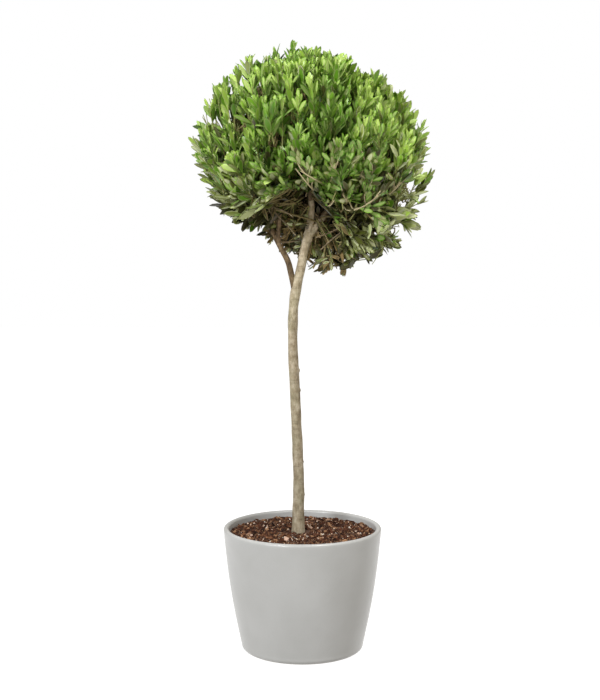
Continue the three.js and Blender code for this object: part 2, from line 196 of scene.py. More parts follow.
def make_studio():
    """A white room: soft light from all round, three soft boxes, and two beams from low down."""
    scene = bpy.context.scene
    scene.view_settings.view_transform = "Standard"
    world = bpy.data.worlds.new("studio")
    scene.world = world
    world.use_nodes = True
    tree = world.node_tree
    room, output = tree.nodes["Background"], tree.nodes["World Output"]
    light_below, light_above = (0.39, 0.37, 0.335, 1), (0.6, 0.58, 0.545, 1)
    room_light = ramp(tree, height_in(tree, "Generated"), [(0.0, light_below), (0.45, light_above)])
    put(room, {"Color": room_light, "Strength": 1.0})
    backdrop = add_node(tree, "ShaderNodeBackground", {"Color": grey(1), "Strength": 1.0})
    path = tree.nodes.new("ShaderNodeLightPath")
    blend = add_node(tree, "ShaderNodeMixShader", {0: path.outputs["Is Camera Ray"],
                                                   1: room.outputs["Background"],
                                                   2: backdrop.outputs["Background"]})
    put(output, {"Surface": blend.outputs["Shader"]})
    soft_box("key", (-1.5, -2.1, 1.6), (0, 0, 0.5), 0.9, 59, (0.94, 0.97, 1.0))
    soft_box("top", (0.8, -0.8, 2.6), (0, 0, 0.7), 0.7, 34, (1.0, 0.99, 0.95))
    soft_box("edge", (2.0, 0.9, 1.0), (0, 0, 0.4), 0.9, 1, (1.0, 0.92, 0.82))
    beam("under_fill", (0.45, -1.75, 0.3), (0.02, 0, 0.66), 20, 33, (1.0, 0.93, 0.79))
    beam("low_side", (1.7, -0.5, 0.42), (0.14, 0, 0.655), 14, 22, (0.98, 0.99, 1.0))


def make_floor():
    bpy.ops.mesh.primitive_plane_add(size=8.0, location=(0, 1.2, 0))
    floor = bpy.context.object
    floor.name = "floor"
    material, _, shader = new_material("floor_white")
    put(shader, {"Base Color": grey(0.3), "Roughness": 0.95, "Specular IOR Level": 0.0,
                 "Emission Color": grey(1), "Emission Strength": 0.93})
    floor.data.materials.append(material)
    floor.visible_diffuse = False


# ---- Materials ----
def srgb(r, g, b):
    """A colour given as 0 to 255 per channel, in the linear values that shaders take."""
    def linear(c):
        c /= 255
        return c / 12.92 if c <= 0.04045 else ((c + 0.055) / 1.055) ** 2.4
    return (linear(r), linear(g), linear(b), 1.0)


def grey(value):
    return (value, value, value, 1)


def put(node, values):
    """Fills a node's inputs: a socket is linked, and any other value is set on the input itself."""
    for key, value in values.items():
        if isinstance(value, bpy.types.NodeSocket):
            node.id_data.links.new(value, node.inputs[key])
        else:
            node.inputs[key].default_value = value


def add_node(tree, kind, values):
    node = tree.nodes.new(kind)
    put(node, values)
    return node


def new_material(name):
    material = bpy.data.materials.new(name)
    material.use_nodes = True
    tree = material.node_tree
    return material, tree, tree.nodes["Principled BSDF"]


def plain(name, tint, roughness, specular):
    material, _, shader = new_material(name)
    put(shader, {"Base Color": srgb(*tint), "Roughness": roughness, "Specular IOR Level": specular})
    return material


def noise_texture(tree, scale, detail, roughness=0.5, stretch=(1, 1, 1)):
    """The value of a 3-D noise in the object's own space, in features per metre."""
    place = tree.nodes.new("ShaderNodeTexCoord").outputs["Object"]
    mapping = add_node(tree, "ShaderNodeMapping", {"Vector": place, "Scale": [scale * s for s in stretch]})
    node = add_node(tree, "ShaderNodeTexNoise", {"Vector": mapping.outputs["Vector"], "Scale": 1.0,
                                                 "Detail": detail, "Roughness": roughness})
    return node.outputs["Fac"]


def height_in(tree, space):
    """The Z of a point in the named space."""
    place = tree.nodes.new("ShaderNodeTexCoord").outputs[space]
    return add_node(tree, "ShaderNodeSeparateXYZ", {"Vector": place}).outputs["Z"]


def ramp(tree, source, stops):
    """Colours by the source's value: each stop is a value and the colour that it gets."""
    node = add_node(tree, "ShaderNodeValToRGB", {"Fac": source})
    elements = node.color_ramp.elements
    while len(elements) < len(stops):
        elements.new(0.5)
    for element, (position, colour) in zip(elements, stops):
        element.position = position
        element.color = colour
    return node.outputs["Color"]


def mix(tree, share, first, second, how="MULTIPLY"):
    node = tree.nodes.new("ShaderNodeMix")
    node.data_type = "RGBA"
    node.blend_type = how
    put(node, {"Factor": share, "A": first, "B": second})
    return node.outputs["Result"]


def bump(tree, height, strength, distance, **under):
    """A bumpy normal, on top of another one where Normal= gives it."""
    values = {"Height": height, "Strength": strength, "Distance": distance, **under}
    return add_node(tree, "ShaderNodeBump", values).outputs["Normal"]


def glaze_material():
    """Warm-grey satin glaze: faint cloudy colour, tiny pinholes and a soft orange-peel surface."""
    material, tree, shader = new_material("pot_glaze")
    cloud = noise_texture(tree, 14, 4.0)
    base = ramp(tree, cloud, [(0.3, srgb(177, 177, 175)), (0.7, srgb(187, 187, 186))])
    fleck = ramp(tree, noise_texture(tree, 900, 2.0), [(0.26, grey(0.86)), (0.34, grey(1.0))])
    sheen = ramp(tree, noise_texture(tree, 40, 3.0), [(0.3, grey(0.3)), (0.7, grey(0.38))])
    peel = bump(tree, noise_texture(tree, 220, 2.0), 0.12, 0.0006)
    put(shader, {"Base Color": mix(tree, 1.0, base, fleck), "Roughness": sheen, "Normal": peel,
                 "Coat Weight": 0.25, "Coat Roughness": 0.18})
    return material


def clay_material():
    """The unglazed foot ring."""
    material, tree, shader = new_material("pot_foot_clay")
    grain = noise_texture(tree, 500, 5.0)
    colour = ramp(tree, grain, [(0.35, srgb(196, 182, 160)), (0.65, srgb(218, 207, 188))])
    put(shader, {"Base Color": colour, "Roughness": 0.85, "Normal": bump(tree, grain, 0.3, 0.0004)})
    return material


def soil_material():
    """Damp peat and fine bark: reddish browns in grains a millimetre or two across."""
    material, tree, shader = new_material("potting_mix")
    grain = noise_texture(tree, 420, 6.0, 0.7)
    fine = ramp(tree, grain, [(0.32, srgb(38, 20, 12)), (0.5, srgb(84, 54, 38)), (0.68, srgb(132, 98, 74))])
    broad = ramp(tree, noise_texture(tree, 45, 3.0), [(0.35, grey(0.62)), (0.65, grey(1.0))])
    put(shader, {"Base Color": mix(tree, 1.0, fine, broad), "Roughness": 0.92,
                 "Normal": bump(tree, grain, 0.9, 0.0016)})
    return material


def bark_material(name, *tints):
    """Young olive bark: mottled, with short upright fissures, level scars and a little green algae, with
    painted shade low down and painted light high up.
    """
    material, tree, shader = new_material(name)
    pale, mid, dark, green = (srgb(*tint) for tint in tints)
    streak = noise_texture(tree, 380, 6.0, 0.66, (1, 1, 0.3))
    mottle = noise_texture(tree, 120, 4.0, 0.6, (1, 1, 0.7))
    scars = noise_texture(tree, 150, 3.0, 0.5, (0.3, 0.3, 2.2))
    patch = noise_texture(tree, 30, 4.0, 0.5, (1, 1, 0.5))
    fine = ramp(tree, mottle, [(0.3, dark), (0.48, mid), (0.64, pale)])
    cracks = ramp(tree, streak, [(0.34, grey(0.66)), (0.5, grey(1.0))])
    edges = ramp(tree, scars, [(0.34, grey(0.7)), (0.42, grey(1.0)), (0.66, grey(1.0)), (0.74, grey(1.14))])
    body = mix(tree, 0.7, mix(tree, 0.8, fine, cracks), edges)
    algae = ramp(tree, patch, [(0.5, grey(0.0)), (0.72, grey(0.45))])
    weathered = mix(tree, algae, body, green, "MIX")
    # Painted shade near the mix and painted light up towards the forks: darker low down, paler high up, by
    # the height in metres.
    painted_height_shade = ramp(tree, height_in(tree, "Object"),
                [(0.18, grey(0.78)), (0.33, grey(0.93)), (0.48, grey(1.0)), (0.57, grey(1.2))])
    fissures = bump(tree, streak, 0.7, 0.001)
    put(shader, {"Base Color": mix(tree, 1.0, weathered, painted_height_shade), "Roughness": 0.82,
                 "Specular IOR Level": 0.3, "Normal": bump(tree, edges, 0.35, 0.0006, Normal=fissures)})
    return material


# ---- Meshes from arrays ----
def mesh_object(name, verts, faces, materials, slots=0, smooth=True):
    """An object from vertices in millimetres and faces that all have the same number of corners."""
    places = (verts * MM).astype(np.float32)
    faces = faces.astype(np.int32)
    count, corners = faces.shape
    mesh = bpy.data.meshes.new(name)
    mesh.vertices.add(len(places))
    mesh.vertices.foreach_set("co", places.reshape(-1))
    mesh.loops.add(faces.size)
    mesh.loops.foreach_set("vertex_index", faces.reshape(-1))
    mesh.polygons.add(count)
    mesh.polygons.foreach_set("loop_start", np.arange(0, faces.size, corners, dtype=np.int32))
    for material in materials:
        mesh.materials.append(material)
    mesh.polygons.foreach_set("material_index", np.full(count, slots, dtype=np.int32))
    mesh.polygons.foreach_set("use_smooth", np.full(count, smooth))
    mesh.update(calc_edges=True)
    mesh.validate()
    piece = bpy.data.objects.new(name, mesh)
    show(piece)
    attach(piece, "root")
    return piece


def unit(v):
    return v / np.maximum(np.linalg.norm(v, axis=-1, keepdims=True), 1e-9)


def round_angles(sides):
    return np.arange(sides) * 2 * np.pi / sides


def ring_quads(rings, sides, first=0):
    """Quads that join each ring of vertices to the next. The first ring starts at vertex first."""
    i = np.arange(rings - 1)[:, None] * sides
    j = np.arange(sides)[None, :]
    k = (j + 1) % sides
    return np.stack([i + j, i + k, i + sides + k, i + sides + j], axis=-1).reshape(-1, 4) + first


def lathe(profile, sides):
    """Vertices and quads of a profile of (radius, height) turned about the Z axis."""
    radii, heights = np.array(profile).T[:, :, None]
    angles = round_angles(sides)
    rings = [radii * np.cos(angles), radii * np.sin(angles), np.repeat(heights, sides, axis=1)]
    return np.stack(rings, axis=-1).reshape(-1, 3), ring_quads(len(profile), sides)


# ---- Pot ----
def wall_radius(z):
    share = (z - FOOT_ROUND) / (LIP_HEIGHT - FOOT_ROUND)
    taper = FOOT_RADIUS + (RIM_RADIUS - FOOT_RADIUS) * share
    return taper + POT_BELLY * math.sin(math.pi * share)


def arc(centre, radius, start, end, steps):
    angles = np.radians(np.linspace(start, end, steps + 1))
    return [(centre[0] + radius * math.cos(a), centre[1] + radius * math.sin(a)) for a in angles]


def make_pot():
    foot = (FOOT_RADIUS - FOOT_ROUND, FOOT_ROUND)
    bare = [(AXIS_GAP, FOOT_RING[0][1])] + [(foot[0] - inward, z) for inward, z in FOOT_RING]
    bare += arc(foot, FOOT_ROUND, -90, GLAZE_EDGE, 6)[1:]
    outer = [(wall_radius(z), z) for z in np.linspace(FOOT_ROUND, LIP_HEIGHT, 40)]
    lip = arc((RIM_RADIUS - LIP, LIP_HEIGHT), LIP, 0, 180, 20)
    inner = [(wall_radius(max(z, FOOT_ROUND)) - POT_WALL, z)
             for z in np.linspace(LIP_HEIGHT, POT_FLOOR, 24)]
    glazed = arc(foot, FOOT_ROUND, GLAZE_EDGE, 0, 12)[1:-1] + outer + lip[1:-1] + inner
    glazed.append((AXIS_GAP, POT_FLOOR))
    verts, quads = lathe(bare + glazed, POT_SIDES)
    slots = (np.arange(len(quads)) // POT_SIDES < len(bare) - 1).astype(int)
    pot = mesh_object("pot_glazed", verts, quads, [glaze_material(), clay_material()], slots)
    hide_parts("pot")


# ---- Potting mix ----
def soil_height(x, y):
    rise = (SOIL_CREST - SOIL_EDGE) * max(0.0, 1 - math.hypot(x, y) / SOIL_RISE_RADIUS)
    bumps = sum(height * noise.noise(Vector((x, y, part)) / width) for height, width, part in SOIL_BUMPS)
    return SOIL_EDGE + rise + bumps


def make_soil():
    radii = SOIL_TOP_RADIUS * (np.arange(SOIL_RINGS) + 0.2) / (SOIL_RINGS - 0.8)
    verts, quads = lathe([(r, 0.0) for r in radii], SOIL_SIDES)
    for v in verts:
        v[2] = soil_height(v[0], v[1])
    soil = mesh_object("potting_mix_bed", verts, quads, [soil_material()])
    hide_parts("soil")


def scattered(count, sizes, solid, sink, flat):
    """Many copies of a small solid, turned, stretched and laid on the mix."""
    shape, faces = solid
    verts = np.empty((count, len(shape), 3))
    for i in range(count):
        angle = rng.uniform(0, 2 * np.pi)
        radius = (SOIL_TOP_RADIUS - CHIP_MARGIN) * math.sqrt(rng.uniform(0.012, 1))
        x, y = radius * math.cos(angle), radius * math.sin(angle)
        size = sizes[0] + (sizes[1] - sizes[0]) * rng.uniform(0, 1) ** 2.2
        stretch = np.array([1.0, rng.uniform(0.45, 0.95), rng.uniform(flat, flat * 2)]) * size
        corners = shape * (1 + rng.uniform(-0.28, 0.28, shape.shape)) * stretch / 2
        tilt = rng.normal(0, 0.35, 2)
        turn = rng.uniform(0, 2 * np.pi)
        c, s = math.cos(turn), math.sin(turn)
        corners = corners @ np.array([[c, s, 0], [-s, c, 0], [0, 0, 1]])
        corners[:, 2] += corners[:, 0] * tilt[0] + corners[:, 1] * tilt[1]
        verts[i] = corners + (x, y, soil_height(x, y) + size * sink)
    index = np.arange(count)[:, None, None] * len(shape) + faces[None]
    return verts.reshape(-1, 3), index.reshape(-1, faces.shape[1])


# The corners and faces of a rough block and of an eight-sided grain.
CHIP = (np.array([[-1, -0.8, -1], [1, -0.6, -1], [0.9, 0.7, -1], [-0.9, 1, -1],
                  [-0.8, -0.7, 1], [0.9, -0.5, 1], [0.7, 0.6, 1], [-0.9, 0.7, 1]]),
        np.array([[0, 3, 2, 1], [4, 5, 6, 7], [0, 1, 5, 4], [1, 2, 6, 5], [2, 3, 7, 6], [3, 0, 4, 7]]))
GRAIN = (np.array([[1, 0, 0], [-1, 0, 0], [0, 1, 0], [0, -1, 0], [0, 0, 1], [0, 0, -1]]),
         np.array([[0, 2, 4], [2, 1, 4], [1, 3, 4], [3, 0, 4], [2, 0, 5], [1, 2, 5], [3, 1, 5], [0, 3, 5]]))


def make_chips():
    """Bark chips, fine grains, perlite and pale wood chips, each kind joined into one piece."""
    # Name, count, sizes, solid, how high and how flat each lies as a share of its size, and tints.
    kinds = [
        ("bark_chips", 1500, (1.8, 7.0), CHIP, 0.2, 0.25,
         [(86, 50, 32), (61, 34, 21), (114, 76, 51), (150, 112, 82), (40, 22, 13)]),
        ("peat_grains", 6000, (1.1, 3.2), GRAIN, 0.25, 0.6,
         [(55, 30, 18), (84, 50, 32), (126, 90, 63), (34, 18, 11), (166, 132, 100)]),
        ("perlite_grains", 340, (1.2, 4.0), GRAIN, 0.35, 0.7,
         [(222, 198, 178), (238, 226, 212), (204, 168, 144)]),
        ("wood_chips", 14, (5.0, 12.0), CHIP, 0.3, 0.16,
         [(204, 172, 152), (176, 142, 118), (150, 116, 92)]),
    ]
    for name, count, sizes, solid, sink, flat, tints in kinds:
        verts, index = scattered(count, sizes, solid, sink, flat)
        materials = [plain(f"{name}_{i}", tint, 0.88, 0.25) for i, tint in enumerate(tints)]
        weights = 1 / (np.arange(len(tints)) + 1.5)
        chosen = rng.choice(len(tints), count, p=weights / weights.sum())
        slots = np.repeat(chosen, len(solid[1]))
        piece = mesh_object(name, verts, index, materials, slots, smooth=False)


# ---- Limbs ----
def smooth_line(points, spacing):
    """A centripetal Catmull-Rom curve through the points, as equally spaced points."""
    points = np.asarray(points, dtype=float)
    padded = np.vstack([2 * points[0] - points[1], points, 2 * points[-1] - points[-2]])
    line = []
    for p0, p1, p2, p3 in zip(padded, padded[1:], padded[2:], padded[3:]):
        d0, d1, d2 = (np.linalg.norm(b - a) ** 0.5 for a, b in ((p0, p1), (p1, p2), (p2, p3)))
        m1 = ((p1 - p0) / d0 - (p2 - p0) / (d0 + d1) + (p2 - p1) / d1) * d1
        m2 = ((p2 - p1) / d1 - (p3 - p1) / (d1 + d2) + (p3 - p2) / d2) * d1
        t = np.linspace(0, 1, 40, endpoint=False)[:, None]
        line.append((2 * t**3 - 3 * t**2 + 1) * p1 + (t**3 - 2 * t**2 + t) * m1
                    + (3 * t**2 - 2 * t**3) * p2 + (t**3 - t**2) * m2)
    line = np.vstack(line + [points[-1:]])
    steps = np.concatenate([[0], np.cumsum(np.linalg.norm(np.diff(line, axis=0), axis=1))])
    count = max(3, int(steps[-1] / spacing) + 1)
    even = np.linspace(0, steps[-1], count)
    return np.stack([np.interp(even, steps, line[:, k]) for k in range(3)], axis=1), even


def frames_along(line):
    """Two unit vectors across the line at each point, carried along it without twist."""
    tangents = unit(np.gradient(line, axis=0))
    first = np.cross(tangents[0], [0.0, 1.0, 0.0])
    first = unit(first if np.linalg.norm(first) > 0.2 else np.cross(tangents[0], [1.0, 0.0, 0.0]))
    across = [first]
    for tangent in tangents[1:]:
        across.append(unit(across[-1] - tangent * np.dot(across[-1], tangent)))
    across = np.array(across)
    return across, np.cross(tangents, across), tangents


def relief(angle, rise, radius, seed):
    """The bark's height at an angle round a limb and a distance along it."""
    x, y = math.cos(angle) * radius, math.sin(angle) * radius
    ridges = noise.fractal(Vector((x / 2.3, y / 2.3, rise / 15 + seed)), 0.6, 2.1, 4)
    lumps = noise.noise(Vector((x / 9, y / 9, rise / 26 + seed)))
    return 0.15 * ridges + 0.8 * lumps * min(1.0, radius / 8)


def limb_mesh(line, rise, radii, seed, sides, knots=()):
    """Vertices and quads of a limb with bark relief, knots and a domed end."""
    across, other, tangents = frames_along(line)
    angles = round_angles(sides)
    verts = []
    for i, point in enumerate(line):
        for a in angles:
            r = radii[i] + relief(a, rise[i], radii[i], seed)
            for height, side, size in knots:
                round_it = ((a - side + np.pi) % (2 * np.pi) - np.pi) * STEM_RADIUS
                away = ((rise[i] - height) / size) ** 2 + (round_it / size) ** 2
                r += KNOT_HEIGHT * size * math.exp(-2.2 * away)
            verts.append(point + r * (math.cos(a) * across[i] + math.sin(a) * other[i]))
    for step in DOME_STEPS:
        r = radii[-1] * math.sqrt(1 - step**2) + 0.02
        middle = line[-1] + tangents[-1] * step * radii[-1] * 0.8
        for a in angles:
            verts.append(middle + r * (math.cos(a) * across[-1] + math.sin(a) * other[-1]))
    return np.array(verts), ring_quads(len(line) + len(DOME_STEPS), sides)


def sphere_direction(azimuth, elevation):
    a, e = math.radians(azimuth), math.radians(elevation)
    return np.array([math.cos(e) * math.cos(a), math.cos(e) * math.sin(a), math.sin(e)])


NAMES = list(MASSES)
AXES = np.array([sphere_direction(a, e) for a, e, _ in MASSES.values()])
REACHES = np.array([reach for _, _, reach in MASSES.values()])
BASES = {n: CROWN_CENTRE + BASE_SHARE * r * a for n, a, r in zip(NAMES, AXES, REACHES)}
DIP_AXES = np.array([sphere_direction(a, e) for a, e, _, _ in DIPS])
DIP_DEPTHS = np.array([depth for _, _, depth, _ in DIPS])
DIP_WIDTHS = np.array([1 - math.cos(math.radians(spread)) for _, _, _, spread in DIPS])


def make_stem(bark):
    line, rise = smooth_line(STEM_POINTS, 1.6)
    flare, fade = STEM_FLARE
    swelling, place, spread = STEM_SWELLING
    radii = np.interp(rise / rise[-1], [0, 1], STEM_RADII) + flare * np.exp(-rise / fade)
    radii += swelling * np.exp(-((rise - place) / spread) ** 2)
    verts, quads = limb_mesh(line, rise, radii, 0.0, STEM_SIDES, KNOTS)
    stem = mesh_object("stem_bark", verts, quads, [bark])
    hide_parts("trunk")


def bough_points(name):
    """A bough's own points, and then the foot of its mass of leaves."""
    mass, *points = BOUGHS[name]
    return points + [tuple(BASES[mass])]


def make_limbs():
    pale = bark_material("bark_stem", (198, 185, 162), (170, 156, 131), (128, 111, 86), (142, 142, 108))
    make_stem(pale)
    dark = bark_material("bark_boughs", (140, 120, 92), (104, 86, 62), (64, 51, 37), (92, 88, 60))
    for number, name in enumerate(BOUGHS):
        line, rise = smooth_line(bough_points(name), 1.8)
        radii = np.interp(rise / rise[-1], [0, 1], MAIN_RADII.get(name, SIDE_RADII))
        collar, fade = BOUGH_COLLAR
        radii *= 1 + collar * np.exp(-rise / fade)
        sides = MAIN_SIDES if name in MAIN_RADII else SIDE_SIDES
        verts, quads = limb_mesh(line, rise, radii, 5.3 * (number + 1), sides)
        bark = pale if name in ("bough_centre", "bough_right") else dark
        piece = mesh_object(name + "_bark", verts, quads, [bark])
        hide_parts(name)


# ---- The crown's shape ----
def chance(share):
    return rng.uniform() < share


def jitter(size):
    return rng.normal(0, size, 3)


def reach_along(directions):
    """How far the leaf tips reach from the crown's centre in each direction."""
    weights = np.exp(REACH_BLEND * (directions @ AXES.T))
    dips = np.exp((directions @ DIP_AXES.T - 1) / DIP_WIDTHS) @ DIP_DEPTHS
    return (weights @ REACHES) / weights.sum(axis=-1) - dips


def crown_point(way, share):
    """The point at a share of the crown's reach in one direction."""
    return CROWN_CENTRE + way * reach_along(way) * share


def spiral(count):
    """Directions spread evenly over the sphere by the golden angle."""
    i = np.arange(count)
    z = 1 - 2 * (i + 0.5) / count
    azimuth = i * np.pi * (3 - math.sqrt(5))
    flat = np.sqrt(1 - z * z)
    return np.stack([flat * np.cos(azimuth), flat * np.sin(azimuth), z], axis=1)


def bare_zone(point):
    """How far a point belongs to the thin zone, from 0 to 1. In front the zone doesn't end."""
    away = (point - BARE_CENTRE) / BARE_SIZE
    away[1] = max(0.0, away[1])
    return math.exp(-np.sum(away**2))


def in_hollow(points, margin=HOLLOW_MARGIN):
    return np.sum(((points - HOLLOW_CENTRE) / (HOLLOW_RADII + margin)) ** 2, axis=-1) < 1


def inside_crown(points, share):
    out = points - CROWN_CENTRE
    return np.linalg.norm(out, axis=-1) < share * reach_along(unit(out))


class Tubes:
    """Many tapering tubes gathered into one mesh."""

    def __init__(self):
        self.verts, self.quads, self.slots, self.count = [], [], [], 0

    def add(self, line, radii, sides, slot):
        across, other, _ = frames_along(line)
        angles = round_angles(sides)[:, None]
        ring = np.cos(angles) * across[:, None] + np.sin(angles) * other[:, None]
        self.verts.append((line[:, None] + ring * np.asarray(radii)[:, None, None]).reshape(-1, 3))
        self.quads.append(ring_quads(len(line), sides, self.count))
        self.slots.append(np.full(len(self.quads[-1]), slot))
        self.count += len(line) * sides

    def build(self, name, materials):
        return mesh_object(name, np.vstack(self.verts), np.vstack(self.quads), materials,
                           np.concatenate(self.slots))


def bend(start, control, end, count):
    t = np.linspace(0, 1, count)[:, None]
    return (1 - t) ** 2 * start + 2 * t * (1 - t) * control + t**2 * end


# ---- Leaves ----
# A blade narrow at its stalk, widest well past the middle and blunt at its tip.
LEAF_STATIONS = np.array([0.0, 0.26, 0.6, 0.86, 1.0])
LEAF_WIDTHS = np.array([0.12, 0.62, 1.0, 0.72, 0.1])
LEAF_ROWS = len(LEAF_STATIONS)
LEAF_FOLD = 0.24  # how far the blade's edges rise above the midrib, as a share of the half width
SHEET_GAP = 0.3  # the blade's thickness
TIP_LIMIT = 1.03  # leaf tips stay within this share of the crown's reach
SHOOT_LIMIT = 1.01  # and the tips of shoots within this one
# Openings through the edge of the crown, as seen from EYE: x, z and radius in the plane of the stem.
# The large ones are placed one by one, the pinholes by arcs of the outline: from and to, in degrees
# up from +X, and how many.
EYE = np.array([0.0, -2200.0, 700.0])
OPENINGS = [(-97, 794, 8), (-84, 806, 6), (158, 702, 10.5), (147, 678, 9), (143, 646, 7),
            (-68, 662, 6), (-152, 812, 10), (-139, 838, 8), (114, 592, 8), (94, 578, 7),
            (17, 594, 8), (9, 914, 7), (48, 905, 8), (-150, 828, 6)]
PINHOLE_ARCS = [(124, 166, 10), (196, 246, 10), (280, 352, 20)]
PINHOLE_REACH = (0.66, 0.95)
PINHOLE_RADII = (3.6, 5.8)
# No leaf hangs in front of the forks: x, z and radius in the same plane.
CLEARINGS = np.array([(9, 634, 13), (20, 648, 12), (31, 660, 10), (10, 655, 11)])


def make_windows():
    holes = list(OPENINGS)
    for start, end, count in PINHOLE_ARCS:
        for _ in range(count):
            way = sphere_direction(0, rng.uniform(start, end))
            x, _, z = crown_point(way, rng.uniform(*PINHOLE_REACH))
            holes.append((x, z, rng.uniform(*PINHOLE_RADII)))
    return np.array(holes)


WINDOWS = make_windows()  # without leaves
SKY = np.array(OPENINGS) * (1, 1, 0.5)  # without shoots too: the inner half of the large ones


def covered(points, spots):
    """Which points lie on a line of sight from EYE through one of the round spots."""
    at = points - EYE
    at = EYE + at * (-EYE[1] / at[:, 1:2])
    away = np.hypot(at[:, 0:1] - spots[:, 0], at[:, 2:3] - spots[:, 1])
    return (away < spots[:, 2]).any(axis=1)


def leaf_faces():
    """Quads of the folded upper sheet, rows of three points, then of the flat under sheet."""
    upper, under = [], []
    for row in range(LEAF_ROWS - 1):
        for side in (0, 1):
            a = row * 3 + side
            upper.append([a, a + 3, a + 4, a + 1])
        b = LEAF_ROWS * 3 + row * 2
        under.append([b, b + 1, b + 3, b + 2])
    return np.array(upper + under), len(upper)


LEAF_QUADS, UPPER_QUADS = leaf_faces()


class Leaves:
    """Leaves gathered as roots, directions, upper normals, lengths, widths, curls and tints."""

    def __init__(self):
        self.rows = []

    def add(self, root, towards, normal, length, width, curl, tint):
        self.rows.append((*root, *towards, *normal, length, width, curl, tint))

    def kept(self):
        """The leaves whose tips stay within the crown and out of its hollow."""
        data = np.array(self.rows)
        tips = data[:, 0:3] + unit(data[:, 3:6]) * data[:, 9:10]
        shown = inside_crown(tips, TIP_LIMIT) & ~in_hollow(tips)
        for share in (0.3, 0.65, 1.0):  # no leaf shows in an opening at any of these points
            at = data[:, 0:3] + share * (tips - data[:, 0:3])
            shown &= ~covered(at, WINDOWS) & ~(covered(at, CLEARINGS) & (at[:, 1] < LINING_FRONT))
        return data[shown]

    def build(self, name, materials, trimmed=True):
        data = self.kept() if trimmed else np.array(self.rows)
        root, towards, normal = (data[:, None, None, k:k + 3] for k in (0, 3, 6))
        length, width, curl = (data[:, None, None, k:k + 1] for k in (9, 10, 11))
        tint = data[:, 12].astype(int)
        towards = unit(towards)
        side = unit(np.cross(normal, towards))
        normal = np.cross(towards, side)
        along = LEAF_STATIONS[:, None, None]
        half = LEAF_WIDTHS[:, None, None] * width / 2
        lateral = np.array([-1.0, 0.0, 1.0])[:, None]
        rise = LEAF_FOLD * half * np.abs(lateral) - curl * length * along**2
        top = root + along * length * towards + half * lateral * side + rise * normal
        bottom = (top - SHEET_GAP * normal)[:, :, [0, 2]]
        verts = np.concatenate([top.reshape(len(data), -1, 3), bottom.reshape(len(data), -1, 3)], axis=1)
        quads = (np.arange(len(data))[:, None, None] * verts.shape[1] + LEAF_QUADS[None]).reshape(-1, 4)
        under_quads = len(LEAF_QUADS) - UPPER_QUADS
        slots = np.hstack([np.repeat(tint[:, None], UPPER_QUADS, axis=1),
                           np.repeat(UNDER_OF[tint][:, None], under_quads, axis=1)])
        return mesh_object(name, verts.reshape(-1, 3), quads, materials, slots.reshape(-1))


# Upper sides of green leaves from the palest to the darkest, for young to old leaves and for painted light
# to painted shade,
#  of olive-brown leaves from the low and inner shoots, and the undersides.
GREEN_TINTS = [(166, 198, 82), (140, 182, 60), (117, 164, 46), (98, 146, 34), (80, 124, 22),
               (62, 98, 12), (38, 66, 5)]
OLIVE_TINTS = [(186, 196, 130), (146, 157, 84), (106, 116, 50), (70, 76, 26), (40, 42, 11)]
DRY_TINTS = [(180, 158, 110), (142, 120, 77), (104, 85, 49), (66, 53, 29)]
UPPER_TINTS = GREEN_TINTS + OLIVE_TINTS + DRY_TINTS
UNDER_TINTS = [(172, 192, 112), (146, 168, 96), (116, 134, 74), (78, 96, 38),
               (194, 200, 160), (144, 150, 104), (118, 104, 68), (66, 64, 34)]
# The underside's material for each upper side, in the list that leaf_materials makes.
UNDER_OF = np.array([0, 0, 1, 1, 2, 3, 3, 4, 4, 5, 7, 7, 6, 6, 6, 7]) + len(UPPER_TINTS)


def leaf_materials():
    uppers = [plain(f"leaf_upper_{i}", c, 0.34, 0.5) for i, c in enumerate(UPPER_TINTS)]
    unders = [plain(f"leaf_under_{i}", c, 0.6, 0.25) for i, c in enumerate(UNDER_TINTS)]
    return uppers + unders


def pick_tint(tone, olive, dry=0.0):
    """A tint for a tone from 0, palest, to 6, darkest, and the chances that it is olive or dry brown."""
    if chance(dry):
        return len(GREEN_TINTS) + len(OLIVE_TINTS) + int(rng.integers(0, len(DRY_TINTS)))
    if chance(olive):
        return len(GREEN_TINTS) + int(np.clip(0.72 * tone, 0, len(OLIVE_TINTS) - 1))
    return int(np.clip(tone, 0, len(GREEN_TINTS) - 1))


# ---- Shoots and twigs ----
SHOOT_LENGTHS = (42, 76)
SHOOT_RADII = (1.5, 1.05, 0.5)  # at its branch, at its base and at its end
TIP_GAP = 12  # from the end of a shoot's twig to the tips of its last leaves
LINK_POINTS = 5  # from the branch to the shoot's base
FIRST_PAIR, LAST_PAIR = 0.24, 0.88  # where a shoot's leaves start and end, as shares of its twig
LEAF_LENGTH, LEAF_WIDTH = 24.0, 7.5
TUFT_LENGTH, TUFT_WIDTH = 18, 5.2
MISSING_LEAVES = 0.06
LONG_SHOOTS, LONG_EXTRA = 0.16, 0.09  # the share of shoots that stand out, and how far
INNER_SHOOTS, INNER_REACH = 0.4, (0.66, 0.84)
BRANCH_REACH = 0.74
SPRAY_SPREAD = 0.2  # radians
# The slots of the twigs' bark.
SHOOT_BARK, TWIG_BARK, BRANCH_BARK, RUNNER_BARK, INNER_BARK = range(5)
# The bare twigs in the hollow: the bough, from and to along it as shares, and how many.
BRUSH = [("bough_left", 0.35, 1.0, 15), ("bough_centre", 0.1, 0.9, 13), ("bough_right", 0.2, 1.0, 15)]


